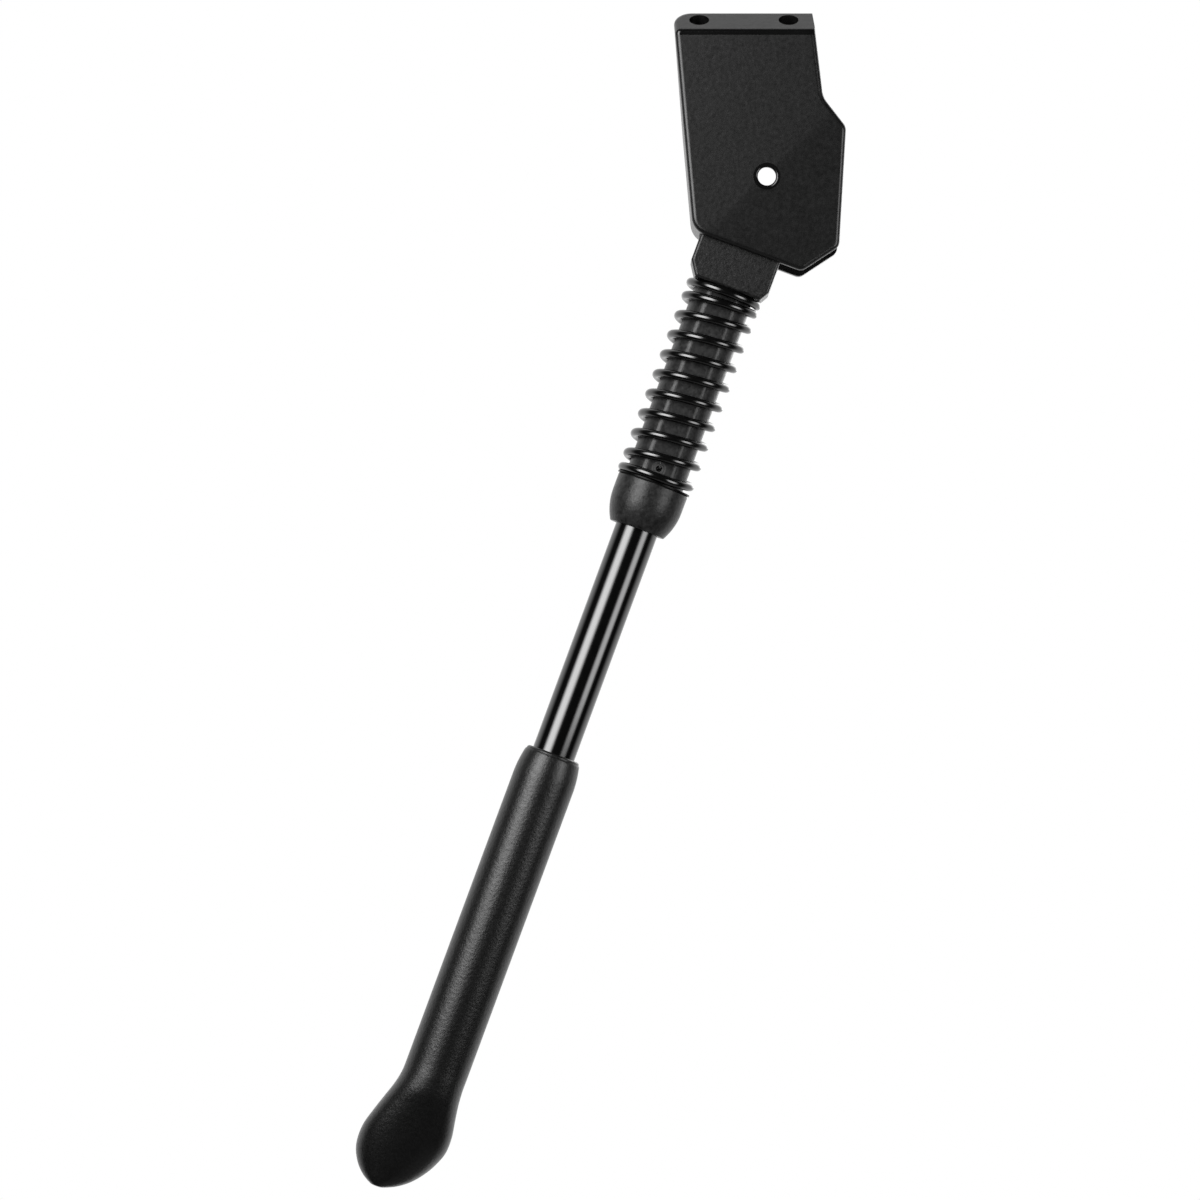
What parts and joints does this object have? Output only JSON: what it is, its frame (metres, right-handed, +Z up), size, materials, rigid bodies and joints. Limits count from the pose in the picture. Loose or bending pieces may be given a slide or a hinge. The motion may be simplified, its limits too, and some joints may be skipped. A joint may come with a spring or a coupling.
{
  "type": "bicycle kickstand",
  "caption": "Folding single-leg bicycle kickstand: canted bolt-on clevis bracket, spring-loaded sliding block on a stem, round rod and flared rubber foot sleeve.",
  "frame": {"origin": "middle of the two screw holes, on the canted mount face", "axes": "+X towards the side the leg folds to, +Y along the pivot pin from the near cheek to the far cheek, +Z up with the leg down"},
  "size_m": [0.1349, 0.026, 0.3233],
  "materials": {
    "bracket_paint": "satin black, lightly textured paint",
    "pin_steel": "black",
    "stem_metal": "matte black cast metal",
    "block_plastic": "matte moulded plastic",
    "spring_paint": "gloss black",
    "washer_paint": "black",
    "roll_pin_steel": "black",
    "rod_paint": "gloss black paint",
    "foot_rubber": "matte rubber with a fine grain"
  },
  "bodies": {
    "bracket": {"bracket": "bracket_paint", "pivot_pin": "pin_steel"},
    "leg": {"leg_stem": "stem_metal", "spring": "spring_paint", "spring_washer": "washer_paint", "roll_pin": "roll_pin_steel", "leg_rod": "rod_paint", "foot_sleeve": "foot_rubber"},
    "block": {"slider_block": "block_plastic"}
  },
  "joints": [
    {"name": "leg_swing", "type": "hinge", "parent": "bracket", "child": "leg", "pos_m": [0.0062, 0.00855, -0.04353], "axis": [0, -1, 0], "range_deg": [0, 107]},
    {"name": "block_slide", "type": "slide", "parent": "leg", "child": "block", "axis": [-0.3469, 0, -0.9379], "range_m": [0, 0.005], "stiffness_N_per_m": 4800, "deforming": ["spring"]}
  ]
}
